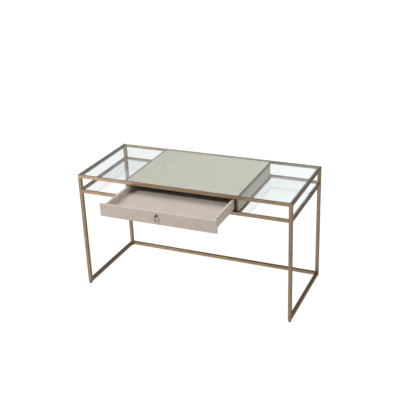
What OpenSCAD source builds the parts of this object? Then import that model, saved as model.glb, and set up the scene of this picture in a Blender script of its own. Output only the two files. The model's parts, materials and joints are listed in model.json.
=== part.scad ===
// Glass-topped dressing and writing table: a slim square-tube metal frame, one clear top
// glass let into its rim, two clear shelf glasses beside a leather-covered centre case, and
// one drawer on concealed ball slides.
// The front is -Y and up is +Z. The origin is on the floor, midway between the four feet.
// The drawer is drawn pulled out by drawer_open. All sizes are millimetres.

/* [Overall] */
// Width over the legs
table_w = 1400; // [1100:10:1700]
// Depth over the legs
table_d = 610; // [500:10:740]
// Height to the top of the rim
table_h = 775; // [640:5:930]

/* [Tube frame] */
// Outside width of every square tube
tube = 20; // [16:0.5:25]
// Wall of the tube
tube_wall = 1.5; // [1:0.1:2]
// Thickness of the lip that stands up round the glass
lip_t = 4; // [3:0.5:5]
// Width of the two flat bars that cross under the top glass
bar_w = 10; // [8:0.5:14]
// Width of the bearers under the inner edges of the shelf glasses
bearer_w = 13; // [12.5:0.5:18]

/* [Feet] */
// Height of the glide under each leg
glide_h = 9; // [3:0.5:12]
// Diameter of the glide
glide_d = 19; // [12:0.5:20]
// Length of the glide's plug inside the leg
plug_l = 12; // [8:1:20]

/* [Glass] */
// Thickness of the top glass and the shelf glasses
glass_t = 8; // [5:0.5:10]
// Gap between a glass edge and the metal beside it
glass_play = 0.8; // [0.5:0.1:1.5]
// Thickness of the clear pads under the glass
pad_t = 1; // [0.6:0.1:1.5]
// Diameter of the clear pads
pad_d = 8; // [6:0.5:9]

/* [Centre case] */
// Width of the case over its leather
case_w = 740; // [520:10:900]
// Clear height between the top rails and the lower rails
bay_h = 80; // [70:1:110]
// Thickness of the case's boards without leather
board_t = 10.8; // [9:0.2:15]
// Thickness of the leather
hide_t = 1.2; // [0.8:0.1:1.8]
// Gap left under the top glass
case_top_gap = 0.6; // [0.4:0.1:1]

/* [Drawer] */
// How far the drawer stands open as drawn
drawer_open = 305; // [0:5:320]
// Thickness of the drawer front with its leather
front_t = 15; // [12:0.5:20]
// Gap above and below the drawer front
front_gap = 1.5; // [1:0.1:3]
// How far each end of the front stops short of the case's outside
front_inset = 4; // [0:0.5:6]
// Gap behind the shut drawer front
shut_gap = 1; // [0.8:0.1:2]
// Thickness of the drawer's sides and back
side_t = 12; // [9:0.5:16]
// Gap between a drawer side and the case beside it
side_gap = 12; // [8:0.5:14]
// Gap under the drawer sides
under_gap = 10; // [6:0.5:14]
// Gap above the drawer sides
over_gap = 7; // [4:0.5:10]
// How much lower the drawer's back is than its sides
back_drop = 6; // [2:0.5:12]
// Free depth between the shut drawer and the back of the case
rear_gap = 113; // [20:1:140]
// Thickness of the drawer's bottom board
bottom_t = 6; // [4:0.5:9]
// Depth of the grooves that hold the bottom board
groove_t = 6; // [4:0.5:8]
// Play of the bottom board in its grooves
groove_play = 0.2; // [0.1:0.1:0.4]
// Thickness of the lining on the bottom board
lining_t = 1.5; // [1:0.1:3]

/* [Slides] */
// Height from the slide's base to the bottom board
slide_h = 21.5; // [19:0.5:26]
// Height of the slide's base over the case floor
slide_lift = 1.5; // [1:0.1:3]
// Width of the slide's channel
slide_w = 26; // [24:0.5:34]
// Sheet steel of the slides
sheet_t = 1.2; // [1:0.1:1.5]
// Diameter of the slides' balls
ball_d = 2.1; // [1.8:0.1:2.6]
// Running clearance on each side of a ball
ball_play = 0.1; // [0.05:0.01:0.15]
// Balls along each side of a ball cage
balls_per_row = 6; // [3:1:9]

/* [Pull] */
// Depth of the pull's pin below the top edge of the front
pull_down = 21.5; // [14:0.5:30]
// Distance from the front to the pull's pin
pull_out = 16; // [15:0.5:24]
// Diameter of the stud
stud_d = 9; // [8:0.5:12]
// Length of the hanging drop below its pin
drop_l = 34; // [28:1:40]
// Diameter of the drop at its lower end
drop_d = 9; // [6:0.5:10]
// Diameter of the pin
pin_d = 2; // [1.5:0.1:2.5]

/* [Hidden] */

$fn = 48;
cut = 1; // how far a cutting shape runs past a face

metal = [0.66, 0.52, 0.36];
glass_tint = [0.80, 0.90, 0.88, 0.35];
hide = [0.74, 0.70, 0.63];
dark_board = [0.16, 0.13, 0.11];
steel = [0.70, 0.71, 0.72];

// Frame levels and the rail section
lip_h = glass_t + pad_t;
box_h = tube - lip_h;
top_z = table_h - tube;
low_z = top_z - bay_h - tube;
ledge_w = tube - lip_t;
glass_x = table_w / 2 - lip_t - glass_play;
glass_y = table_d / 2 - lip_t - glass_play;
inner_x = table_w / 2 - tube;
inner_y = table_d / 2 - tube;
foot_x = table_w / 2 - tube / 2;
foot_y = table_d / 2 - tube / 2;

// Case
floor_z = low_z + tube;
case_x = case_w / 2;
board_out_x = case_x - hide_t;
wall_x = board_out_x - board_t;
bar_x0 = case_x - lip_t;
case_y0 = -table_d / 2 + front_t + shut_gap;
case_y1 = inner_y;
board_y0 = case_y0 + hide_t;
board_y1 = case_y1 - hide_t;
back_in_y = board_y1 - board_t;
case_top_z = table_h - glass_t - case_top_gap;
floor_screw_d = 4;

// Drawer, shut
front_x = case_x - front_inset;
front_y0 = -table_d / 2;
front_y1 = front_y0 + front_t;
front_z0 = floor_z + front_gap;
front_z1 = top_z - front_gap;
side_x1 = wall_x - side_gap;
side_x0 = side_x1 - side_t;
side_z0 = floor_z + under_gap;
side_z1 = top_z - over_gap;
drawer_l = back_in_y - rear_gap - front_y1;
drawer_y1 = front_y1 + drawer_l;
bottom_z = floor_z + slide_lift + slide_h;
bottom_x = side_x0 + groove_t - groove_play;
lining_play = 0.3;

// Slides, shut: three channels nested one in another, with balls in the gaps between them
slide_z = floor_z + slide_lift;
slide_y = front_y1 + 2;
slide_l = drawer_l;
ball_gap = ball_d + 2 * ball_play;
outer_x1 = side_x0 - 2;
outer_x0 = outer_x1 - slide_w;
middle_x0 = outer_x0 + sheet_t + ball_gap;
middle_x1 = outer_x1 - sheet_t - ball_gap;
inner_x0 = middle_x0 + sheet_t + ball_gap;
inner_x1 = middle_x1 - sheet_t - ball_gap;
cage_t = 0.6;
cage_gap = (ball_gap - cage_t) / 2;
float_gap = 0.5;
outer_flange_h = 9.5;
middle_z = slide_z + sheet_t + cage_t + 2 * float_gap;
middle_h = 14.5;
inner_z0 = middle_z + sheet_t + cage_t + 2 * float_gap;
wall_flange_h = 19;
cage_l = slide_l / 2.5;
lower_ball_z = slide_z + 6.5;
upper_ball_z = inner_z0 + 6.5;
screw_d = 3;
screw_play = 0.05;
slide_screw_z = slide_z + 13;

// Where the drawer, the half-speed channels and the cages stand
drawer_shift = -drawer_open;
middle_shift = -drawer_open / 2;
lower_cage_shift = -drawer_open / 4;
upper_cage_shift = -drawer_open * 3 / 4;

// Pull
pull_y = front_y0 - pull_out;
pull_z = front_z1 - pull_down;
eye_r = 3;
tongue_t = 2.4;
tongue_play = 0.35;
pull_screw_d = 4;
stud_nose = 4.5;

// A block from one corner to the other
module block(a, b) {
  translate(a) cube(b - a);
}

// Extrudes a section drawn in X and Z along Y
module along_y(y0, length) {
  translate([0, y0 + length, 0]) rotate([90, 0, 0]) linear_extrude(length) children();
}

module strip(x0, x1, z0, z1) {
  translate([x0, z0]) square([x1 - x0, z1 - z0]);
}

// Makes the left-hand piece from the right-hand one
module left() {
  mirror([1, 0, 0]) children();
}

/* Frame */

// Rail section: a hollow box with a lip along its outer edge, so that glass lies inside it
module rail_section(w = tube) {
  difference() {
    polygon([[0, 0], [w, 0], [w, box_h], [lip_t, box_h], [lip_t, tube], [0, tube]]);
    translate([tube_wall, tube_wall]) square([w - 2 * tube_wall, box_h - 2 * tube_wall]);
  }
}

// Rail along X, centred, with its lip at Y = 0 and its ledge towards +Y
module rail(length, w = tube) {
  rotate([90, 0, 90]) translate([0, 0, -length / 2]) linear_extrude(length) rail_section(w);
}

module mitre(length) {
  translate([0, 0, -cut]) linear_extrude(tube + 2 * cut) polygon([
    [length / 2 + cut, -cut], [length / 2 + cut, tube + cut],
    [length / 2 - tube - cut, tube + cut]
  ]);
}

module mitred_rail(length) {
  difference() {
    rail(length);
    mitre(length);
    left() mitre(length);
  }
}

module square_tube(length) {
  linear_extrude(length) difference() {
    square(tube, center = true);
    square(tube - 2 * tube_wall, center = true);
  }
}

module leg(sx, sy) {
  color(metal) translate([sx * foot_x, sy * foot_y, glide_h]) square_tube(top_z - glide_h);
}

module cross_top_rail() {
  color(metal) translate([0, -table_d / 2, top_z]) mitred_rail(table_w);
}

module end_top_rail() {
  color(metal) translate([-table_w / 2, 0, top_z]) rotate([0, 0, -90]) mitred_rail(table_d);
}

// Holes through both walls of a lower rail for the screws that hold the case floor
module floor_screw_places() {
  for (x = [-case_w / 3, 0, case_w / 3])
    translate([x, -table_d / 2 + tube / 2 + lip_t / 2, low_z]) children();
}

module cross_lower_rail() {
  color(metal) difference() {
    translate([0, -table_d / 2, low_z]) rail(2 * inner_x);
    floor_screw_places() translate([0, 0, -cut])
      cylinder(d = floor_screw_d + 0.2, h = box_h + 2 * cut);
  }
}

module end_lower_rail() {
  color(metal) translate([-table_w / 2, 0, low_z]) rotate([0, 0, -90]) rail(2 * inner_y);
}

// Carries the inner edge of a shelf glass; its lip stands under the case wall
module shelf_bearer() {
  color(metal) translate([bar_x0, 0, low_z]) rotate([0, 0, -90]) rail(2 * inner_y, bearer_w);
}

module top_bar() {
  color(metal) block([bar_x0, -inner_y, top_z], [bar_x0 + bar_w, inner_y, top_z + box_h]);
}

module floor_runner() {
  color(metal) translate([foot_x, inner_y, glide_h + tube / 2])
    rotate([90, 0, 0]) square_tube(2 * inner_y);
}

module rear_floor_stretcher() {
  color(metal) translate([-inner_x, foot_y, glide_h + tube / 2])
    rotate([0, 90, 0]) square_tube(2 * inner_x);
}

// Four moulded glides, each a round foot with a square plug pressed into the leg
module floor_glides() {
  plug_w = tube - 2 * tube_wall - 0.2;
  color([0.08, 0.08, 0.08])
    for (x = [-foot_x, foot_x], y = [-foot_y, foot_y])
      translate([x, y, 0]) union() {
        cylinder(d = glide_d, h = glide_h);
        translate([-plug_w / 2, -plug_w / 2, glide_h]) cube([plug_w, plug_w, plug_l]);
      }
}

/* Glass */

module top_glass() {
  color(glass_tint)
    block([-glass_x, -glass_y, table_h - glass_t], [glass_x, glass_y, table_h]);
}

// Shelf glass, notched at its two outer corners to pass the legs
module shelf_glass() {
  notch_x = inner_x - glass_play;
  notch_y = inner_y - glass_play;
  color(glass_tint) difference() {
    block([case_x + glass_play, -glass_y, floor_z - glass_t], [glass_x, glass_y, floor_z]);
    for (s = [-1, 1])
      translate([notch_x, s > 0 ? notch_y : -notch_y - tube, floor_z - glass_t - cut])
        cube([tube, tube, glass_t + 2 * cut]);
  }
}

module pad(p) {
  translate(p) cylinder(d = pad_d, h = pad_t);
}

module top_glass_pads() {
  ledge_mid = lip_t + ledge_w / 2;
  ledge_x = table_w / 2 - ledge_mid;
  ledge_y = table_d / 2 - ledge_mid;
  pad_z = top_z + box_h;
  color([0.85, 0.87, 0.86]) {
    for (x = [-0.9, -0.32, 0.32, 0.9], y = [-ledge_y, ledge_y])
      pad([x * ledge_x, y, pad_z]);
    for (x = [-ledge_x, ledge_x]) pad([x, 0, pad_z]);
    for (x = [-1, 1], y = [-0.6, 0.6])
      pad([x * (bar_x0 + bar_w / 2), y * ledge_y, pad_z]);
  }
}

module shelf_glass_pads() {
  ledge_mid = lip_t + ledge_w / 2;
  ledge_y = table_d / 2 - ledge_mid;
  pad_z = low_z + box_h;
  bay_w = inner_x - case_x;
  color([0.85, 0.87, 0.86])
    for (s = [-1, 1]) {
      for (x = [0.2, 0.85], y = [-ledge_y, ledge_y])
        pad([s * (case_x + x * bay_w), y, pad_z]);
      pad([s * (table_w / 2 - ledge_mid), 0, pad_z]);
      pad([s * (case_x + (bearer_w - lip_t) / 2), 0, pad_z]);
    }
}

/* Centre case */

module case_top_board() {
  color(dark_board)
    block([-bar_x0, -inner_y, top_z], [bar_x0, inner_y, case_top_z - hide_t]);
}

module case_top_leather() {
  color(hide)
    block([-bar_x0, -inner_y, case_top_z - hide_t], [bar_x0, inner_y, case_top_z]);
}

module case_side_board() {
  color(dark_board) difference() {
    block([wall_x, board_y0, floor_z], [board_out_x, board_y1, top_z]);
    slide_case_screw_places() translate([-cut, 0, 0]) rotate([0, 90, 0])
      cylinder(d = screw_d + 2 * screw_play, h = 8.5 + cut);
  }
}

// Leather on the outside of a case wall, turned round its front edge
module case_side_leather() {
  color(hide) {
    difference() {
      block([wall_x, case_y0, floor_z], [case_x, case_y1, top_z]);
      block([wall_x - cut, board_y0, floor_z - cut], [board_out_x, case_y1 + cut, top_z + cut]);
    }
  }
}

module case_back_board() {
  color(dark_board) block([-wall_x, back_in_y, floor_z], [wall_x, board_y1, top_z]);
}

module case_back_leather() {
  color(hide) block([-board_out_x, board_y1, floor_z], [board_out_x, case_y1, top_z]);
}

// Lies on the ledges of the front and rear lower rails, between the shelf bearers
module case_floor_board() {
  floor_x = bar_x0 - 0.3;
  color(dark_board) difference() {
    block([-floor_x, -glass_y, low_z + box_h], [floor_x, glass_y, floor_z]);
    for (s = [0, 1]) mirror([0, s, 0]) floor_screw_places()
      translate([0, 0, box_h - cut]) cylinder(d = floor_screw_d + 0.1, h = cut + 7.5);
  }
}

module case_floor_screws() {
  head_h = 2;
  color(steel)
    for (s = [0, 1]) mirror([0, s, 0]) floor_screw_places() union() {
      translate([0, 0, -head_h]) cylinder(d = 7.5, h = head_h);
      cylinder(d = floor_screw_d, h = box_h + 7);
    }
}

// Small felt dots on the case's front edges that the shut drawer front meets
module drawer_bumpers() {
  bumper_t = shut_gap - 0.3;
  bumper_x = (wall_x + case_x) / 2;
  color([0.30, 0.27, 0.24])
    for (x = [-bumper_x, bumper_x], z = [floor_z + bay_h / 4, floor_z + bay_h * 3 / 4])
      translate([x, case_y0, z]) rotate([90, 0, 0]) cylinder(d = 8, h = bumper_t);
}

/* Drawer */

module drawer_front_board() {
  color(dark_board) translate([0, drawer_shift, 0]) difference() {
    block([-front_x + hide_t, front_y0 + hide_t, front_z0 + hide_t],
          [front_x - hide_t, front_y1, front_z1 - hide_t]);
    block([-bottom_x - groove_play, front_y1 - groove_t, bottom_z - groove_play / 2],
          [bottom_x + groove_play, front_y1 + cut, bottom_z + bottom_t + groove_play / 2]);
    translate([0, front_y1 + cut, pull_z]) rotate([90, 0, 0]) {
      cylinder(d = pull_screw_d + 0.2, h = front_t + 2 * cut);
      cylinder(d = 9, h = 4 + cut);
    }
  }
}

// Embossed leather over the front's face, turned round all four edges
module drawer_front_leather() {
  color(hide) translate([0, drawer_shift, 0]) difference() {
    block([-front_x, front_y0, front_z0], [front_x, front_y1, front_z1]);
    block([-front_x + hide_t, front_y0 + hide_t, front_z0 + hide_t],
          [front_x - hide_t, front_y1 + cut, front_z1 - hide_t]);
    translate([0, front_y1, pull_z]) rotate([90, 0, 0])
      cylinder(d = pull_screw_d + 0.2, h = front_t + cut);
  }
}

module drawer_side() {
  color(hide) translate([0, drawer_shift, 0]) difference() {
    block([side_x0, front_y1, side_z0], [side_x1, drawer_y1, side_z1]);
    block([side_x0 - cut, front_y1 - cut, bottom_z - groove_play / 2],
          [side_x0 + groove_t, drawer_y1 + cut, bottom_z + bottom_t + groove_play / 2]);
  }
}

module drawer_back() {
  color(hide) translate([0, drawer_shift, 0])
    block([-side_x0, drawer_y1 - side_t, bottom_z + bottom_t],
          [side_x0, drawer_y1, side_z1 - back_drop]);
}

module drawer_bottom() {
  color(hide) translate([0, drawer_shift, 0]) difference() {
    block([-bottom_x, front_y1 - groove_t + groove_play, bottom_z],
          [bottom_x, drawer_y1, bottom_z + bottom_t]);
    for (s = [0, 1]) mirror([s, 0, 0]) slide_drawer_screw_places()
      translate([0, 0, -cut]) cylinder(d = screw_d + 2 * screw_play, h = 5 + cut);
  }
}

module drawer_lining() {
  color([0.80, 0.76, 0.73]) translate([0, drawer_shift, 0])
    block([-side_x0 + lining_play, front_y1 + lining_play, bottom_z + bottom_t],
          [side_x0 - lining_play, drawer_y1 - side_t - lining_play,
           bottom_z + bottom_t + lining_t]);
}

/* Slides */

module slide_case_screw_places() {
  for (t = [0.08, 0.5, 0.92])
    translate([wall_x, slide_y + t * slide_l, slide_screw_z]) children();
}

module slide_drawer_screw_places() {
  for (t = [0.08, 0.5, 0.92])
    translate([(inner_x0 + inner_x1) / 2, slide_y + t * slide_l, bottom_z]) children();
}

// Fixed channel: base plate, two flanges and an upstand screwed to the case wall
module slide_outer() {
  color(steel) difference() {
    along_y(slide_y, slide_l) {
      strip(outer_x0, wall_x, slide_z, slide_z + sheet_t);
      strip(outer_x0, outer_x0 + sheet_t, slide_z, slide_z + outer_flange_h);
      strip(outer_x1 - sheet_t, outer_x1, slide_z, slide_z + outer_flange_h);
      strip(wall_x - sheet_t, wall_x, slide_z, slide_z + wall_flange_h);
    }
    slide_case_screw_places() translate([-sheet_t - cut, 0, 0]) rotate([0, 90, 0])
      cylinder(d = screw_d + 0.4, h = sheet_t + 2 * cut);
  }
}

// Half-speed channel that runs inside the fixed one
module slide_middle() {
  color(steel) translate([0, middle_shift, 0]) along_y(slide_y, slide_l) {
    strip(middle_x0, middle_x1, middle_z, middle_z + sheet_t);
    strip(middle_x0, middle_x0 + sheet_t, middle_z, middle_z + middle_h);
    strip(middle_x1 - sheet_t, middle_x1, middle_z, middle_z + middle_h);
  }
}

// Drawer channel, open downwards, screwed up into the drawer's bottom board
module slide_inner() {
  color(steel) translate([0, drawer_shift, 0]) difference() {
    along_y(slide_y, slide_l) {
      strip(inner_x0, inner_x1, bottom_z - sheet_t, bottom_z);
      strip(inner_x0, inner_x0 + sheet_t, inner_z0, bottom_z);
      strip(inner_x1 - sheet_t, inner_x1, inner_z0, bottom_z);
    }
    slide_drawer_screw_places() translate([0, 0, -sheet_t - cut])
      cylinder(d = screw_d + 0.4, h = sheet_t + 2 * cut);
  }
}

// A cage is a folded strip under the moving channel, with a row of balls in each upright
module ball_cage(x0, x1, z0, height, ball_z, shift) {
  hole_d = ball_d + 0.1;
  cage_x0 = x0 + cage_gap;
  cage_x1 = x1 - cage_gap;
  cage_y = slide_y + (slide_l - cage_l) / 2;
  pitch = cage_l / balls_per_row;
  color(steel) translate([0, shift, 0]) {
    difference() {
      along_y(cage_y, cage_l) {
        strip(cage_x0, cage_x1, z0, z0 + cage_t);
        strip(cage_x0, cage_x0 + cage_t, z0, z0 + height);
        strip(cage_x1 - cage_t, cage_x1, z0, z0 + height);
      }
      for (i = [0 : balls_per_row - 1])
        translate([cage_x0 - cut, cage_y + (i + 0.5) * pitch, ball_z]) rotate([0, 90, 0])
          cylinder(d = hole_d, h = cage_x1 - cage_x0 + 2 * cut);
    }
    for (i = [0 : balls_per_row - 1], x = [cage_x0 + cage_t / 2, cage_x1 - cage_t / 2])
      translate([x, cage_y + (i + 0.5) * pitch, ball_z]) sphere(d = ball_d);
  }
}

module lower_ball_cage() {
  ball_cage(outer_x0 + sheet_t, outer_x1 - sheet_t, slide_z + sheet_t + float_gap, 7.5,
            lower_ball_z, lower_cage_shift);
}

module upper_ball_cage() {
  ball_cage(middle_x0 + sheet_t, middle_x1 - sheet_t, middle_z + sheet_t + float_gap, 9.5,
            upper_ball_z, upper_cage_shift);
}

module slide_case_screws() {
  color(steel) for (s = [0, 1]) mirror([s, 0, 0]) slide_case_screw_places()
    rotate([0, 90, 0]) union() {
      translate([0, 0, -sheet_t - 1.6]) cylinder(d = 6, h = 1.6);
      translate([0, 0, -sheet_t]) cylinder(d = screw_d, h = sheet_t + 8);
    }
}

module slide_drawer_screws() {
  color(steel) translate([0, drawer_shift, 0])
    for (s = [0, 1]) mirror([s, 0, 0]) slide_drawer_screw_places() union() {
      translate([0, 0, -sheet_t - 1.4]) cylinder(d = 5, h = 1.4);
      translate([0, 0, -sheet_t]) cylinder(d = screw_d, h = sheet_t + 4.5);
    }
}

/* Pull */

// Turned stud: a thin collar on the leather, a neck, and a head slotted for the drop
module pull_stud() {
  stud_r = stud_d / 2;
  stud_l = pull_out + stud_nose;
  color(metal) translate([0, front_y0 + drawer_shift, pull_z]) difference() {
    rotate([90, 0, 0]) rotate_extrude() polygon([
      [0, 0], [7, 0], [7, 1.2], [6.2, 2], [stud_r - 1.2, 2.6], [stud_r - 1.2, 11],
      [stud_r, 13], [stud_r, stud_l - 1.5], [stud_r - 1.5, stud_l], [0, stud_l]
    ]);
    block([-tongue_t / 2 - tongue_play, -stud_l - cut, -stud_r - cut],
          [tongue_t / 2 + tongue_play, -pull_out + eye_r + 2, eye_r + tongue_play]);
    translate([-stud_r - cut, -pull_out, 0]) rotate([0, 90, 0])
      cylinder(d = pin_d + 0.04, h = stud_d + 2 * cut);
    translate([0, cut, 0]) rotate([90, 0, 0])
      cylinder(d = pull_screw_d + 0.1, h = 9.5 + cut);
  }
}

// Goes through the front from inside the drawer into the stud
module pull_screw() {
  color(steel) translate([0, front_y1 - 4 + drawer_shift, pull_z]) rotate([90, 0, 0]) union() {
    translate([0, 0, -2.6]) cylinder(d = 8, h = 2.6);
    cylinder(d = pull_screw_d, h = front_t - 4 + 9);
  }
}

module pull_pin() {
  color(metal) translate([-stud_d / 2 + 0.2, pull_y + drawer_shift, pull_z])
    rotate([0, 90, 0]) cylinder(d = pin_d, h = stud_d - 0.4);
}

// The drop: a flat eye on the pin, a shoulder, and a round bar that thickens downwards
module pull_drop() {
  shoulder = 7;
  drop_r = drop_d / 2;
  color(metal) translate([0, pull_y + drawer_shift, pull_z]) difference() {
    union() {
      rotate_extrude() polygon([
        [0, -drop_l], [drop_r - 1, -drop_l], [drop_r, -drop_l + 1], [drop_r, -drop_l + 3],
        [drop_r - 1.1, -shoulder - 2.5], [drop_r - 0.6, -shoulder - 1.6],
        [drop_r - 0.8, -shoulder], [0, -shoulder]
      ]);
      translate([-tongue_t / 2, 0, 0]) rotate([0, 90, 0]) cylinder(r = eye_r, h = tongue_t);
      block([-tongue_t / 2, -2, -shoulder - 1], [tongue_t / 2, 2, 0]);
    }
    translate([-tongue_t / 2 - cut, 0, 0]) rotate([0, 90, 0])
      cylinder(d = pin_d + 0.1, h = tongue_t + 2 * cut);
  }
}

leg(-1, -1);  // front_left_leg
leg(1, -1);  // front_right_leg
leg(-1, 1);  // rear_left_leg
leg(1, 1);  // rear_right_leg
cross_top_rail();  // front_top_rail
mirror([0, 1, 0]) cross_top_rail();  // rear_top_rail
end_top_rail();  // left_top_rail
mirror([1, 0, 0]) end_top_rail();  // right_top_rail
cross_lower_rail();  // front_lower_rail
mirror([0, 1, 0]) cross_lower_rail();  // rear_lower_rail
end_lower_rail();  // left_lower_rail
mirror([1, 0, 0]) end_lower_rail();  // right_lower_rail
left() shelf_bearer();  // left_shelf_bearer
shelf_bearer();  // right_shelf_bearer
left() top_bar();  // left_top_bar
top_bar();  // right_top_bar
left() floor_runner();  // left_floor_runner
floor_runner();  // right_floor_runner
rear_floor_stretcher();
floor_glides();
top_glass();
left() shelf_glass();  // left_shelf_glass
shelf_glass();  // right_shelf_glass
top_glass_pads();
shelf_glass_pads();
case_top_board();
case_top_leather();
left() case_side_board();  // case_left_board
case_side_board();  // case_right_board
left() case_side_leather();  // case_left_leather
case_side_leather();  // case_right_leather
case_back_board();
case_back_leather();
case_floor_board();
case_floor_screws();
drawer_bumpers();
drawer_front_board();
drawer_front_leather();
left() drawer_side();  // drawer_left_side
drawer_side();  // drawer_right_side
drawer_back();
drawer_bottom();
drawer_lining();
left() slide_outer();  // left_slide_outer
slide_outer();  // right_slide_outer
left() slide_middle();  // left_slide_middle
slide_middle();  // right_slide_middle
left() slide_inner();  // left_slide_inner
slide_inner();  // right_slide_inner
left() lower_ball_cage();  // left_lower_ball_cage
lower_ball_cage();  // right_lower_ball_cage
left() upper_ball_cage();  // left_upper_ball_cage
upper_ball_cage();  // right_upper_ball_cage
slide_case_screws();
slide_drawer_screws();
pull_stud();
pull_screw();
pull_pin();
pull_drop();
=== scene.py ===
import json
from math import cos, pi, radians, sin

import bmesh
import bpy
from mathutils import Matrix, Vector


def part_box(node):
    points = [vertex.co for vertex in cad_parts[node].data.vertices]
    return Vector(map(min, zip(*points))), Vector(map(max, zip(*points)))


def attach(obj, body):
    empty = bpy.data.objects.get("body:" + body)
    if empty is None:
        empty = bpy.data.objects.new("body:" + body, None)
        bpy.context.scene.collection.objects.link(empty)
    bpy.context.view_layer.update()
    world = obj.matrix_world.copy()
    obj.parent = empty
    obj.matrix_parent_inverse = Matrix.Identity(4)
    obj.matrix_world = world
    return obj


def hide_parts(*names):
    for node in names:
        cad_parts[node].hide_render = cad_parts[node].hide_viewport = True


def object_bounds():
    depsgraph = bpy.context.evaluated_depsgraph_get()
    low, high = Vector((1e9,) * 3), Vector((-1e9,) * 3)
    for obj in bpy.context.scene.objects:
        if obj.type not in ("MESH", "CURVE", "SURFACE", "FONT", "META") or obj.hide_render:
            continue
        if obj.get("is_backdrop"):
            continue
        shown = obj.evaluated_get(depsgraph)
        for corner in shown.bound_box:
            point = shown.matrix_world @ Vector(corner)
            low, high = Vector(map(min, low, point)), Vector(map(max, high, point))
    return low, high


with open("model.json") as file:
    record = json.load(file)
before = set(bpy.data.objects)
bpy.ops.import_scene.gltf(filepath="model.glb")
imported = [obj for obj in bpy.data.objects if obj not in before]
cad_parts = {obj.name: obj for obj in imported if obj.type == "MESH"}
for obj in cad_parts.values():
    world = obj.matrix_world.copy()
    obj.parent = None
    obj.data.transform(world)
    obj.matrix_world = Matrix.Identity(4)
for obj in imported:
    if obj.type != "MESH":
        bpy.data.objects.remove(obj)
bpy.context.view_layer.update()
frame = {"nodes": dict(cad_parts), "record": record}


# ---- Camera ----------------------------------------------------------------------------
# A long lens to the right of the table's front, looking down on the open drawer.
# The head is tipped a little, so that the uprights lean as the eye expects them to.
aim = Vector((-0.0033, 0.0, 0.5737))
camera_distance = 4.9545
azimuth, elevation, roll = radians(24.41), radians(23.64), radians(-2.30)
backwards = Vector((sin(azimuth) * cos(elevation), -cos(azimuth) * cos(elevation), sin(elevation)))
level = Vector((cos(azimuth), sin(azimuth), 0.0))
upright = backwards.cross(level)
camera_x = level * cos(roll) + upright * sin(roll)
camera_y = upright * cos(roll) - level * sin(roll)
camera = bpy.data.objects.new("camera", bpy.data.cameras.new("camera"))
camera.data.lens, camera.data.sensor_width = 70.14, 36.0
camera.data.clip_end = 200.0
camera.matrix_world = Matrix.Translation(aim + backwards * camera_distance) @ Matrix(
    (camera_x, camera_y, backwards)).transposed().to_4x4()
bpy.context.scene.collection.objects.link(camera)
bpy.context.scene.camera = camera


# ---- Studio ----------------------------------------------------------------------------
# A bright white floor in a dim room. A wide soft box hangs over the table, a smaller one stands
# low at the front left, and a lamp high up on that side gives the shadows.
def linear(code):
    """A colour for a shader, from its sRGB hex code."""
    parts = [int(code[i:i + 2], 16) / 255 for i in (0, 2, 4)]
    return [c / 12.92 if c <= 0.04045 else ((c + 0.055) / 1.055) ** 2.4 for c in parts] + [1.0]


def add(tree, kind, links=None, **settings):
    """Adds a node, sets its own properties or its inputs, and links its inputs."""
    node = tree.nodes.new("ShaderNode" + kind)
    for name, value in settings.items():
        if hasattr(node, name):
            setattr(node, name, value)
        else:
            node.inputs[name.replace("_", " ")].default_value = value
    for place, source in (links or {}).items():
        tree.links.new(source, node.inputs[place])
    return node


def empty_material(name):
    """A material with nothing in it, and its node tree."""
    material = bpy.data.materials.new(name)
    material.use_nodes = True
    material.node_tree.nodes.clear()
    return material, material.node_tree


floor_half_width = 30.0
floor_glow = 0.97

white_sweep, tree = empty_material("white vinyl sweep")
paper = add(tree, "BsdfDiffuse", Color=linear("505050"))
glow = add(tree, "Emission", Color=linear("FFFFFF"), Strength=floor_glow)
both = add(tree, "AddShader", {0: paper.outputs[0], 1: glow.outputs[0]})
add(tree, "OutputMaterial", {"Surface": both.outputs[0]})

shape = bmesh.new()
bmesh.ops.create_grid(shape, x_segments=1, y_segments=1, size=floor_half_width)
floor_mesh = bpy.data.meshes.new("floor")
shape.to_mesh(floor_mesh)
shape.free()
floor_mesh.materials.append(white_sweep)
floor = bpy.data.objects.new("floor", floor_mesh)
bpy.context.scene.collection.objects.link(floor)
floor.visible_diffuse = floor.visible_glossy = floor.visible_shadow = False
floor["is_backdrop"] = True

# What the floor, the walls and a screen behind the table give back, from left to right as shares
# of the way across and of full white. Only the flat glass mirrors the screen.
floor_stops = ((0.0, 1.0), (0.27, 0.95), (0.40, 0.68), (0.56, 0.45), (0.69, 0.17), (0.80, 0.2),
               (0.9, 0.8), (1.0, 1.35))
wall_stops = ((0.0, 0.30), (0.3, 0.2), (0.7, 0.36), (1.0, 1.1))
screen_stops = ((0.23, 0.06), (0.38, 0.52))
screen_tint = Vector((0.97, 0.99, 1.0))
skirting_from, skirting_to = -0.18, 0.12

room = bpy.data.worlds.new("studio room")
room.use_nodes = True
bpy.context.scene.world = room
tree = room.node_tree
tree.nodes.clear()
direction = add(tree, "TexCoord")
sides = add(tree, "SeparateXYZ", {0: direction.outputs["Generated"]})
skirting = add(tree, "MapRange", {"Value": sides.outputs["Z"]}, From_Min=skirting_from,
               From_Max=skirting_to)
across = add(tree, "MapRange", {"Value": sides.outputs["X"]}, From_Min=-1.0, From_Max=1.0)
floor_light = add(tree, "ValToRGB", {"Fac": across.outputs[0]})
wall_light = add(tree, "ValToRGB", {"Fac": across.outputs[0]})
for light, stops in ((floor_light, floor_stops), (wall_light, wall_stops)):
    ramp = light.color_ramp
    ramp.interpolation = "EASE"
    for at, _ in stops[1:-1]:
        ramp.elements.new(at)
    for stop, (at, bright) in zip(ramp.elements, stops):
        stop.position, stop.color = at, (bright, bright, bright, 1)
surround = add(tree, "Mix", {0: skirting.outputs[0], 6: floor_light.outputs["Color"],
                             7: wall_light.outputs["Color"]}, data_type="RGBA")
lit_room = add(tree, "Background", {"Color": surround.outputs[2]}, Strength=1.0)
plain_room = add(tree, "Background", Color=linear("FFFFFF"), Strength=1.0)
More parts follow.
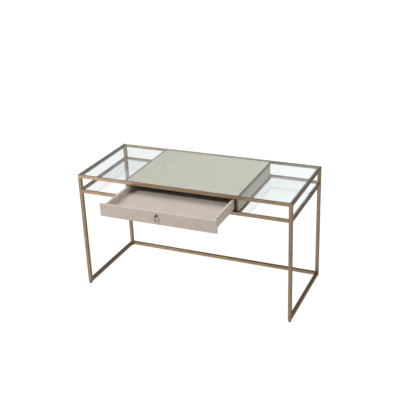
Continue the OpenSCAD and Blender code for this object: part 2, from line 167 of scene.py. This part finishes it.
screen_light = add(tree, "ValToRGB", {"Fac": across.outputs[0]})
for stop, (at, bright) in zip(screen_light.color_ramp.elements, screen_stops):
    stop.position, stop.color = at, (*screen_tint * bright, 1)
screen = add(tree, "Background", {"Color": screen_light.outputs["Color"]}, Strength=1.0)
rays = add(tree, "LightPath")
straight = add(tree, "Math", {0: rays.outputs["Is Camera Ray"],
                              1: rays.outputs["Is Transmission Ray"]}, operation="MAXIMUM")
mirrored = add(tree, "MixShader", {"Fac": rays.outputs["Is Singular Ray"], 1: lit_room.outputs[0],
                                   2: screen.outputs[0]})
seen = add(tree, "MixShader", {"Fac": straight.outputs[0], 1: mirrored.outputs[0],
                               2: plain_room.outputs[0]})
add(tree, "OutputWorld", {"Surface": seen.outputs[0]})


def place_light(name, kind, energy, color, aimed_from, at=(0, 0, 0), **settings):
    """A light that shines from a direction towards the table, and isn't seen itself."""
    light = bpy.data.objects.new(name, bpy.data.lights.new(name, kind))
    light.data.energy, light.data.color = energy, color
    for setting, value in settings.items():
        setattr(light.data, setting, value)
    light.location = at
    light.rotation_euler = Vector(aimed_from).to_track_quat("Z", "Y").to_euler()
    light.visible_camera = False
    bpy.context.scene.collection.objects.link(light)
    return light


place_light("lamp", "SUN", 1.95, (1.0, 0.975, 0.94), (-0.78, -0.88, 1.0), angle=radians(8.0))
overhead_box = place_light("overhead_box", "SUN", 2.0, (0.98, 0.99, 1.0), (0.0, 0.32, 1.0),
                           angle=radians(54.0))
overhead_box.visible_glossy = False
place_light("left_box", "AREA", 10.0, (1.0, 0.98, 0.95), (-0.9, -1.9, 0.1), (-1.4, -2.1, 0.65),
            shape="RECTANGLE", size=2.0, size_y=0.8)
bpy.context.scene.view_settings.view_transform = "Standard"


# ---- Bronze frame ----------------------------------------------------------------------
# Square steel tube and rolled rail section, welded, ground flush, brushed along each length
# and plated a satin antique bronze. The corners of the tube are drawn to a small radius.
# Real brush marks are finer: they are drawn coarse enough to show.
tube_radius = 0.0006
brush_width, brush_length = 0.0016, 0.09
brush_depth = 0.0004
patina_size = 0.055

body_of = {n: b for b, nodes in frame["record"]["behaviour"]["bodies"].items() for n in nodes}


def finish_piece(name, shape, node, materials, smooth=()):
    """Turns a bmesh into a piece that stands for a CAD node and rides on its body."""
    for face in shape.faces:
        face.smooth = face in smooth
    mesh = bpy.data.meshes.new(name)
    shape.to_mesh(mesh)
    shape.free()
    for material in materials:
        mesh.materials.append(material)
    piece = bpy.data.objects.new(name, mesh)
    bpy.context.scene.collection.objects.link(piece)
    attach(piece, body_of[node])
    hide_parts(node)
    return piece


def merged_copy(node):
    """A CAD node's own shape as clean faces, with its doubles merged."""
    shape = bmesh.new()
    shape.from_mesh(frame["nodes"][node].data)
    bmesh.ops.remove_doubles(shape, verts=shape.verts, dist=2e-6)
    bmesh.ops.dissolve_limit(shape, angle_limit=radians(0.4), verts=shape.verts, edges=shape.edges)
    for face in shape.faces:
        face.material_index = 0
    return shape


def eased(node, materials, radius, steps=3, sharpest=40):
    """A copy of a CAD node with its sharp edges rounded; the round takes the last material."""
    shape = merged_copy(node)
    sharp = [e for e in shape.edges if e.is_manifold and e.calc_face_angle() > radians(sharpest)]
    made = bmesh.ops.bevel(shape, geom=sharp, offset=radius, segments=steps, profile=0.5,
                           affect="EDGES", clamp_overlap=True, material=-1)
    for face in made["faces"]:
        face.material_index = len(materials) - 1
    return finish_piece(node + "_eased", shape, node, materials, set(made["faces"]))


def satin_bronze(name, along, light="B49B7E", dark="9B8268", roughness=0.37):
    """Brushed steel under antique bronze plate: warm, with a streaky sheen along the tube."""
    material, tree = empty_material(name)
    place = add(tree, "TexCoord")
    stretch = [brush_length if axis == along else brush_width for axis in "XYZ"]
    lay = add(tree, "Mapping", {"Vector": place.outputs["Object"]})
    lay.inputs["Scale"].default_value = [1 / s for s in stretch]
    streaks = add(tree, "TexNoise", {"Vector": lay.outputs[0]}, Scale=1.0, Detail=3.0, Roughness=0.6)
    patches = add(tree, "TexNoise", {"Vector": place.outputs["Object"]}, Scale=1 / patina_size,
                  Detail=4.0, Roughness=0.55)
    blend = add(tree, "Math", {0: streaks.outputs["Fac"], 1: patches.outputs["Fac"]},
                operation="MULTIPLY_ADD")
    blend.inputs[2].default_value = 0.12
    tone = add(tree, "ValToRGB", {"Fac": blend.outputs[0]})
    first, last = tone.color_ramp.elements
    first.position, first.color = 0.22, linear(dark)
    last.position, last.color = 0.52, linear(light)
    satin = add(tree, "MapRange", {"Value": streaks.outputs["Fac"]}, From_Min=0.3, From_Max=0.7,
                To_Min=roughness - 0.06, To_Max=roughness + 0.08)
    relief = add(tree, "Bump", {"Height": streaks.outputs["Fac"]}, Strength=0.25,
                 Distance=brush_depth)
    way = add(tree, "CombineXYZ", X=float(along == "X"), Y=float(along == "Y"), Z=float(along == "Z"))
    metal = add(tree, "BsdfPrincipled", {"Base Color": tone.outputs[0], "Roughness": satin.outputs[0],
                                         "Normal": relief.outputs[0], "Tangent": way.outputs[0]},
                Metallic=1.0, Anisotropic=0.55, Anisotropic_Rotation=0.25)
    add(tree, "OutputMaterial", {"Surface": metal.outputs[0]})
    return material


bronze = {axis: satin_bronze("satin bronze plate brushed along " + axis, axis) for axis in "XYZ"}
# The rounded corners take a slightly darker, rougher copy of the bronze: painted shade that dulls their
# highlight.
corner_shade_bronze = {axis: satin_bronze("bronze plate rubbed bright on the corners, " + axis, axis,
                             "B09778", "988064", 0.4) for axis in "XYZ"}

tubes = {
    "Z": ("front_left_leg", "front_right_leg", "rear_left_leg", "rear_right_leg"),
    "X": ("front_top_rail", "rear_top_rail", "front_lower_rail", "rear_lower_rail",
          "rear_floor_stretcher"),
    "Y": ("left_top_rail", "right_top_rail", "left_lower_rail", "right_lower_rail",
          "left_shelf_bearer", "right_shelf_bearer", "left_floor_runner", "right_floor_runner"),
}
for axis, nodes in tubes.items():
    for node in nodes:
        eased(node, [bronze[axis], corner_shade_bronze[axis]], tube_radius)
# The bars at the edges of the top panel take a greyer, darker copy of the bronze: painted shade under the
# glass.
painted_shade_bronze = satin_bronze("bronze plate painted grey for the shade under the glass", "Y", "9D958A", "817A70", 0.4)
for node in ("left_top_bar", "right_top_bar"):
    eased(node, [painted_shade_bronze], tube_radius)


# ---- Glides ----------------------------------------------------------------------------
# Moulded black nylon feet with a square plug pushed into each leg.
# The sole is rounded where it slides on the floor.
nylon_speckle = 0.0011
sole_round = 0.0008

nylon, tree = empty_material("moulded black nylon")
place = add(tree, "TexCoord")
flow = add(tree, "TexNoise", {"Vector": place.outputs["Object"]}, Scale=1 / nylon_speckle,
           Detail=2.0)
shade = add(tree, "ValToRGB", {"Fac": flow.outputs["Fac"]})
first, last = shade.color_ramp.elements
first.color, last.color = linear("17171A"), linear("2B2A2B")
dull = add(tree, "MapRange", {"Value": flow.outputs["Fac"]}, To_Min=0.42, To_Max=0.62)
texture = add(tree, "Bump", {"Height": flow.outputs["Fac"]}, Strength=0.2, Distance=0.0003)
plastic = add(tree, "BsdfPrincipled", {"Base Color": shade.outputs[0], "Roughness": dull.outputs[0],
                                       "Normal": texture.outputs[0]}, IOR=1.5)
add(tree, "OutputMaterial", {"Surface": plastic.outputs[0]})
eased("floor_glides", [nylon], sole_round)


# ---- Glass -----------------------------------------------------------------------------
# Clear 8 mm float glass, let into the rim and lying on soft pads, with its edges ground and
# polished. The body of the glass is faintly green, and its edges look deeper green.
melt_streak = 0.33
arris = 0.0008
vinyl_speckle = 0.0025
pad_round = 0.0002


def float_glass(name, tint, clearest, shadow_tint):
    """Float glass: a sharp mirror over a slight cool tint; shadows and soft light go through."""
    material, tree = empty_material(name)
    place = add(tree, "TexCoord")
    melt = add(tree, "TexNoise", {"Vector": place.outputs["Object"]}, Scale=1 / melt_streak,
               Detail=2.0)
    cast = add(tree, "ValToRGB", {"Fac": melt.outputs["Fac"]})
    first, last = cast.color_ramp.elements
    first.color, last.color = linear(tint), linear(clearest)
    pane = add(tree, "BsdfPrincipled", {"Base Color": cast.outputs[0]}, Roughness=0.0, IOR=1.45,
               Transmission_Weight=1.0)
    clear = add(tree, "BsdfTransparent", Color=linear(shadow_tint))
    rays = add(tree, "LightPath")
    sheen = add(tree, "Math", {0: rays.outputs["Is Glossy Ray"], 1: rays.outputs["Is Singular Ray"]},
                operation="SUBTRACT", use_clamp=True)
    bounced = add(tree, "Math", {0: sheen.outputs[0], 1: rays.outputs["Is Diffuse Ray"]},
                  operation="MAXIMUM")
    soft = add(tree, "Math", {0: rays.outputs["Is Shadow Ray"], 1: bounced.outputs[0]},
               operation="MAXIMUM")
    mix = add(tree, "MixShader", {"Fac": soft.outputs[0], 1: pane.outputs[0], 2: clear.outputs[0]})
    add(tree, "OutputMaterial", {"Surface": mix.outputs[0]})
    return material


pane_glass = float_glass("clear float glass", "F6FBFB", "FAFDFD", "FAFCFC")
edge_glass = float_glass("polished glass edge", "A6CCBF", "B4D6CA", "CDE5DC")
for node in ("top_glass", "left_shelf_glass", "right_shelf_glass"):
    piece = eased(node, [pane_glass, edge_glass], arris, 2)
    for face in piece.data.polygons:
        if abs(face.normal.z) < 0.5:
            face.material_index = 1

vinyl, tree = empty_material("translucent soft vinyl")
place = add(tree, "TexCoord")
haze = add(tree, "TexNoise", {"Vector": place.outputs["Object"]}, Scale=1 / vinyl_speckle, Detail=2.0)
shade = add(tree, "ValToRGB", {"Fac": haze.outputs["Fac"]})
first, last = shade.color_ramp.elements
first.color, last.color = linear("8E9490"), linear("A5ABA7")
dull = add(tree, "MapRange", {"Value": haze.outputs["Fac"]}, To_Min=0.2, To_Max=0.4)
gel = add(tree, "BsdfPrincipled", {"Base Color": shade.outputs[0], "Roughness": dull.outputs[0]},
          IOR=1.52, Transmission_Weight=0.1)
add(tree, "OutputMaterial", {"Surface": gel.outputs[0]})
for node in ("top_glass_pads", "shelf_glass_pads"):
    eased(node, [vinyl], pad_round, 2)


# ---- Centre case -----------------------------------------------------------------------
# Near-black stained boards, screwed and glued. The top, the walls and the back are covered
# with one smooth beige leather, glued down and turned round the front edges.
# A hide's pores are finer than this: they are drawn coarse enough to show.
leather_grain = 0.0011
hide_cloud = 0.071
hide_round = 0.0006
board_grain = 0.004
board_round = 0.0004
felt_hair = 0.0007
felt_round = 0.0002


def leather(name, light, dark, roughness=0.5, grain=leather_grain, depth=0.00025):
    """Finished cowhide: fine cells between creases, painted shade in the creases, a low sheen and slow
    changes of tone.
    """
    material, tree = empty_material(name)
    place = add(tree, "TexCoord")
    warp = add(tree, "TexNoise", {"Vector": place.outputs["Object"]}, Scale=1 / (5 * grain),
               Detail=2.0)
    bent = add(tree, "VectorMath", {0: warp.outputs["Color"], 2: place.outputs["Object"]},
               operation="MULTIPLY_ADD")
    bent.inputs[1].default_value = [2 * grain] * 3
    cells = add(tree, "TexVoronoi", {"Vector": bent.outputs[0]}, feature="DISTANCE_TO_EDGE",
                Scale=1 / grain)
    crease = add(tree, "MapRange", {"Value": cells.outputs["Distance"]}, From_Max=0.16)
    tone = add(tree, "TexNoise", {"Vector": place.outputs["Object"]}, Scale=1 / hide_cloud, Detail=6.0,
               Roughness=0.65)
    hide = add(tree, "ValToRGB", {"Fac": tone.outputs["Fac"]})
    first, last = hide.color_ramp.elements
    first.position, first.color = 0.3, linear(dark)
    last.position, last.color = 0.7, linear(light)
    # Painted shade: the colour is multiplied darker in the creases between the cells.
    shadowed = add(tree, "Mix", {6: hide.outputs["Color"]}, data_type="RGBA", blend_type="MULTIPLY")
    shadowed.inputs[7].default_value = linear("DDD6CC")
    low = add(tree, "Math", {1: crease.outputs[0]}, operation="SUBTRACT")
    low.inputs[0].default_value = 1.0
    tree.links.new(low.outputs[0], shadowed.inputs[0])
    polish = add(tree, "MapRange", {"Value": crease.outputs[0]}, To_Min=roughness + 0.12,
                 To_Max=roughness)
    relief = add(tree, "Bump", {"Height": crease.outputs[0]}, Strength=0.5, Distance=depth)
    skin = add(tree, "BsdfPrincipled", {"Base Color": shadowed.outputs[2], "Roughness": polish.outputs[0],
                                        "Normal": relief.outputs[0]}, IOR=1.45, Specular_IOR_Level=0.35)
    add(tree, "OutputMaterial", {"Surface": skin.outputs[0]})
    return material


def stained_board(name, light, dark, roughness):
    """Fibreboard under a thin stain: flat and dull, with a faint brushed grain."""
    material, tree = empty_material(name)
    place = add(tree, "TexCoord")
    lay = add(tree, "Mapping", {"Vector": place.outputs["Object"]})
    lay.inputs["Scale"].default_value = (1 / (12 * board_grain), 1 / board_grain, 1 / board_grain)
    fibre = add(tree, "TexNoise", {"Vector": lay.outputs[0]}, Scale=1.0, Detail=5.0, Roughness=0.7)
    stain = add(tree, "ValToRGB", {"Fac": fibre.outputs["Fac"]})
    first, last = stain.color_ramp.elements
    first.position, first.color = 0.3, linear(dark)
    last.position, last.color = 0.7, linear(light)
    dull = add(tree, "MapRange", {"Value": fibre.outputs["Fac"]}, To_Min=roughness - 0.05,
               To_Max=roughness + 0.1)
    relief = add(tree, "Bump", {"Height": fibre.outputs["Fac"]}, Strength=0.3, Distance=0.0002)
    board = add(tree, "BsdfPrincipled", {"Base Color": stain.outputs[0], "Roughness": dull.outputs[0],
                                         "Normal": relief.outputs[0]}, IOR=1.5)
    add(tree, "OutputMaterial", {"Surface": board.outputs[0]})
    return material


smooth_hide = leather("smooth beige cowhide", "D3CCBC", "C8C1B0")
# The top panel's copy of the one leather is a shade darker than the walls' copy: painted shade on the
# top.
painted_shade_top_hide = leather("smooth beige cowhide of the top panel", "C8C2B4", "BDB7A8", 0.55, depth=0.00012)
front_edge_hide = leather("cowhide turned round an edge, darker on the front faces", "AFA69A", "9E9488")
dark_stain = stained_board("fibreboard stained near black", "3A322C", "2A2420", 0.62)
for node in ("case_top_leather", "case_left_leather", "case_right_leather", "case_back_leather"):
    hide = painted_shade_top_hide if node == "case_top_leather" else smooth_hide
    skin = eased(node, [hide, front_edge_hide, hide], hide_round)
    # The faces that look to the front take a darker tone of the leather.
    for face in skin.data.polygons:
        if face.normal.y < -0.9 and node != "case_back_leather":
            face.material_index = 1
for node in ("case_top_board", "case_left_board", "case_right_board", "case_back_board",
             "case_floor_board"):
    eased(node, [dark_stain], board_round, 2)

pressed_felt, tree = empty_material("pressed brown felt")
place = add(tree, "TexCoord")
hairs = add(tree, "TexNoise", {"Vector": place.outputs["Object"]}, Scale=1 / felt_hair, Detail=4.0)
shade = add(tree, "ValToRGB", {"Fac": hairs.outputs["Fac"]})
first, last = shade.color_ramp.elements
first.color, last.color = linear("463E37"), linear("6E645A")
nap = add(tree, "Bump", {"Height": hairs.outputs["Fac"]}, Strength=0.6, Distance=0.0004)
wool = add(tree, "BsdfPrincipled", {"Base Color": shade.outputs[0], "Normal": nap.outputs[0]},
           Roughness=0.95, Sheen_Weight=0.3)
add(tree, "OutputMaterial", {"Surface": wool.outputs[0]})
eased("drawer_bumpers", [pressed_felt], felt_round, 2)


# ---- Slides and screws -----------------------------------------------------------------
# Folded channels of zinc-plated sheet with steel balls in cages between them, out of sight
# under the drawer. The screws are zinc-plated too.
zinc_spangle = 0.0055
sheet_round = 0.0003
screw_sides, socket_share = 36, 0.46

zinc, tree = empty_material("zinc-plated steel sheet")
place = add(tree, "TexCoord")
spangle = add(tree, "TexVoronoi", {"Vector": place.outputs["Object"]}, Scale=1 / zinc_spangle)
shade = add(tree, "ValToRGB", {"Fac": spangle.outputs["Distance"]})
first, last = shade.color_ramp.elements
first.color, last.color = linear("BFC3C6"), linear("A2A7AB")
dull = add(tree, "MapRange", {"Value": spangle.outputs["Distance"]}, To_Min=0.28, To_Max=0.42)
plate = add(tree, "BsdfPrincipled", {"Base Color": shade.outputs[0], "Roughness": dull.outputs[0]},
            Metallic=1.0)
add(tree, "OutputMaterial", {"Surface": plate.outputs[0]})
for side in ("left_", "right_"):
    for node in ("slide_outer", "slide_middle", "slide_inner"):
        eased(side + node, [zinc], sheet_round, 2)
for node in ("left_lower_ball_cage", "right_lower_ball_cage", "left_upper_ball_cage",
             "right_upper_ball_cage"):
    cad = frame["nodes"][node]
    cad.data.materials.clear()
    cad.data.materials.append(zinc)


def solids_of(node):
    """The box, as its lowest and highest corners, of each separate solid in a CAD node."""
    shape = merged_copy(node)
    left, boxes = set(shape.verts), []
    for start in shape.verts:
        if start not in left:
            continue
        left.remove(start)
        found, front = set(), [start]
        while front:
            vert = front.pop()
            found.add(vert)
            near = {e.other_vert(vert) for e in vert.link_edges} & left
            left -= near
            front.extend(near)
        boxes.append([Vector([pick(v.co[i] for v in found) for i in range(3)]) for pick in (min, max)])
    shape.free()
    return boxes


def socket_screws(node, material, head, shank_radius, axis, outwards):
    """Pan-head screws with a hexagon socket, one for each solid of the node."""
    shape = bmesh.new()
    for low, high in solids_of(node):
        centre = (low + high) / 2
        out = outwards if outwards else (1 if centre[axis] < 0 else -1)
        foot = centre.copy()
        foot[axis] = low[axis] if out > 0 else high[axis]
        length, radius = (high - low)[axis], (high - low)[(axis + 1) % 3] / 2
        socket = radius * socket_share
        screw = bmesh.new()
        turned = [screw.verts.new((wide, 0.0, along)) for wide, along in (
            (shank_radius * 0.75, 0.0), (shank_radius, shank_radius * 0.4),
            (shank_radius, length - head), (radius * 0.98, length - head),
            (radius, length - head * 0.94), (radius, length - head * 0.45),
            (radius * 0.93, length - head * 0.2), (radius * 0.78, length - head * 0.04),
            (radius * 0.62, length))]
        line = [screw.edges.new(pair) for pair in zip(turned, turned[1:])]
        bmesh.ops.spin(screw, geom=turned + line, axis=(0, 0, 1), cent=(0, 0, 0), angle=2 * pi,
                       steps=screw_sides, use_merge=True)
        rims = [e for e in screw.edges if e.is_boundary]
        bmesh.ops.holes_fill(screw, edges=[e for e in rims if e.verts[0].co.z < length / 2], sides=0)
        bmesh.ops.create_circle(screw, cap_ends=True, radius=socket, segments=6,
                                matrix=Matrix.Translation((0, 0, length)))
        screw.faces.ensure_lookup_table()
        key_hole = screw.faces[-1]
        bmesh.ops.bridge_loops(screw, edges=[e for e in rims if e.verts[0].co.z > length / 2]
                               + list(key_hole.edges))
        if key_hole.normal.z < 0:
            key_hole.normal_flip()
        bmesh.ops.inset_individual(screw, faces=[key_hole], thickness=socket * 0.04, depth=-head * 0.6)
        bmesh.ops.recalc_face_normals(screw, faces=screw.faces)
        way = Vector([out * (i == axis) for i in range(3)]).to_track_quat("Z", "Y").to_matrix().to_4x4()
        bmesh.ops.transform(screw, matrix=Matrix.Translation(foot) @ way, verts=screw.verts)
        single = bpy.data.meshes.new("screw")
        screw.to_mesh(single)
        screw.free()
        shape.from_mesh(single)
        bpy.data.meshes.remove(single)
    piece = finish_piece(node + "_turned", shape, node, [material], set(shape.faces))
    piece.data.set_sharp_from_angle(angle=radians(38))
    return piece


socket_screws("case_floor_screws", zinc, 0.002, 0.002, 2, -1)
socket_screws("slide_case_screws", zinc, 0.0016, 0.0015, 0, 0)
socket_screws("slide_drawer_screws", zinc, 0.0014, 0.0015, 2, -1)
socket_screws("pull_screw", zinc, 0.0026, 0.002, 1, 1)


# ---- Drawer ----------------------------------------------------------------------------
# A box of thin boards wrapped in smooth leather cloth, glued at the corners, with the bottom
# held in grooves. The front board is covered with leather embossed in slanting ribs.
cloth_grain, cloth_relief, wrap_round = 0.0008, 0.00015, 0.0012
wrapped = leather("smooth leather cloth over board", "CEC7BC", "C3BCB0", 0.46, cloth_grain,
                  cloth_relief)
for node in ("drawer_left_side", "drawer_right_side", "drawer_back", "drawer_bottom"):
    eased(node, [wrapped], wrap_round)
front_board = eased("drawer_front_board", [dark_stain, wrapped, dark_stain],
                    board_round, 2)
for face in front_board.data.polygons:
    if face.normal.y > -0.9:
        face.material_index = 1

# The front's leather is pressed in low slanting ribs that die out at the turned edges and
# under the pull. Each rib is a broad crown between two shallow valleys.
ribbed_hide = leather("beige cowhide embossed in ribs", "CBC2B8", "C0B6AC", 0.5)
# The faces in the rib valleys take a darker copy of the leather: painted shade in the valleys.
valley_shade_hide = leather("beige cowhide painted darker as shade in the rib valleys", "C4BBB0", "BAB0A5", 0.46)
rib_pitch, rib_rise, rib_depth = 0.0213, radians(41), 0.0004
rib_profile = ((0.0, 1.0), (0.14, 0.6), (0.32, 0.16), (0.5, 0.0), (0.68, 0.16), (0.86, 0.6))
rib_margin, pull_margin, pressed_share = 0.003, 0.010, 0.14
turned_edge = 0.0011
hair = 1e-5

shape = merged_copy("drawer_front_leather")
outline = [e for e in shape.edges if e.is_manifold and e.calc_face_angle() > radians(40)
           and max(abs(v.co.x) for v in e.verts) > 0.01]
turned = set(bmesh.ops.bevel(shape, geom=outline, offset=turned_edge, segments=3, profile=0.5,
                             affect="EDGES", clamp_overlap=True, material=-1)["faces"])
low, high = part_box("drawer_front_leather")
low, high = Vector(low), Vector(high)
pull_low, pull_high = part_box("pull_stud")
pull_at = (Vector(pull_low) + Vector(pull_high)) / 2


def face_cut(at, normal):
    """Cuts the front face, and nothing behind it, along one plane."""
    faces = [f for f in shape.faces if f.normal.y < -0.99 and f.calc_center_median().y < low.y + hair]
    edges = list(dict.fromkeys(e for f in faces for e in f.edges))
    corners = list(dict.fromkeys(v for f in faces for v in f.verts))
    bmesh.ops.bisect_plane(shape, geom=faces + edges + corners, dist=1e-6, plane_co=at,
                           plane_no=normal)


for x in (low.x + rib_margin, high.x - rib_margin):
    face_cut((x, 0, 0), (1, 0, 0))
for z in (low.z + rib_margin, high.z - rib_margin, (low.z + high.z) / 2):
    face_cut((0, 0, z), (0, 0, 1))
for x in (-pull_margin, pull_margin):
    face_cut((x, 0, 0), (1, 0, 0))
for z in (pull_at.z - pull_margin, pull_at.z + pull_margin):
    face_cut((0, 0, z), (0, 0, 1))
across_ribs = Vector((-sin(rib_rise), 0, cos(rib_rise)))
centre = (low + high) / 2
reach = (high.x - low.x) / 2 * sin(rib_rise) + (high.z - low.z) / 2 * cos(rib_rise)
ribs = int(reach / rib_pitch) + 1
for rib in range(-ribs, ribs):
    for phase, _ in rib_profile:
        offset = (rib + phase) * rib_pitch
        if abs(offset) < reach:
            face_cut(centre + across_ribs * offset, across_ribs)
front = [f for f in shape.faces if f.normal.y < -0.99 and f.calc_center_median().y < low.y + hair]
for vert in {v for f in front for v in f.verts}:
    edge = min(vert.co.x - low.x, high.x - vert.co.x, vert.co.z - low.z, high.z - vert.co.z)
    from_pull = (vert.co - Vector((pull_at.x, vert.co.y, pull_at.z))).length
    if edge < rib_margin - hair or from_pull < pull_margin - hair:
        continue
    phase = (vert.co - centre).dot(across_ribs) / rib_pitch % 1.0
    points = list(rib_profile) + [(1.0, 1.0)]
    fall = next(a[1] + (b[1] - a[1]) * (phase - a[0]) / (b[0] - a[0])
                for a, b in zip(points, points[1:]) if phase <= b[0] + 1e-9)
    vert.co.y += rib_depth * fall
for face in front:
    middle = face.calc_center_median()
    edge = min(middle.x - low.x, high.x - middle.x, middle.z - low.z, high.z - middle.z)
    phase = (middle - centre).dot(across_ribs) / rib_pitch % 1.0
    from_pull = (middle - Vector((pull_at.x, middle.y, pull_at.z))).length
    pressed = min(phase, 1 - phase) < pressed_share and edge > rib_margin and from_pull > pull_margin
    face.material_index = int(pressed)
finish_piece("ribbed_front_leather", shape, "drawer_front_leather",
             [ribbed_hide, valley_shade_hide], turned | set(front))

# The lining is short-napped suede cloth, stroked into faint lighter and darker patches.
suede_hair, suede_stroke, suede_round = 0.0014, 0.09, 0.0006
suede, tree = empty_material("short-napped suede cloth")
place = add(tree, "TexCoord")
hairs = add(tree, "TexNoise", {"Vector": place.outputs["Object"]}, Scale=1 / suede_hair, Detail=5.0)
strokes = add(tree, "TexNoise", {"Vector": place.outputs["Object"]}, Scale=1 / suede_stroke,
              Detail=3.0)
blend = add(tree, "Mix", {2: hairs.outputs["Fac"], 3: strokes.outputs["Fac"]}, data_type="FLOAT")
shade = add(tree, "ValToRGB", {"Fac": blend.outputs[0]})
first, last = shade.color_ramp.elements
first.position, first.color = 0.35, linear("AAA098")
last.position, last.color = 0.65, linear("B4ABA3")
nap = add(tree, "Bump", {"Height": hairs.outputs["Fac"]}, Strength=0.4, Distance=0.0003)
cloth = add(tree, "BsdfPrincipled", {"Base Color": shade.outputs[0], "Normal": nap.outputs[0]},
            Roughness=0.9, Sheen_Weight=0.15)
add(tree, "OutputMaterial", {"Surface": cloth.outputs[0]})
lining = eased("drawer_lining", [suede], suede_round)
low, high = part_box("drawer_lining")


# ---- Pull ------------------------------------------------------------------------------
# A turned brass stud through the drawer front, with a drop that hangs on a pin in its slot.
# The brass is darkened and waxed, and rubbed brighter where it is handled; the stud and the pin are a
# dark brown.
brass = satin_bronze("waxed antique brass", "Z", "B3957A", "98795C", 0.36)
worn_brass = satin_bronze("brass rubbed bright by fingers", "Z", "BEA07C", "9C7E5C", 0.32)
dark_brass = satin_bronze("brass in a dark brown tone", "Y", "6B4A2E", "4A3220", 0.4)
turned_corner = 50
eased("pull_stud", [dark_brass, brass], 0.00025, 2, turned_corner)
eased("pull_pin", [dark_brass, brass], 0.0002, 2, turned_corner)
eased("pull_drop", [brass, worn_brass], 0.0003, 2, turned_corner)


low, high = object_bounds()
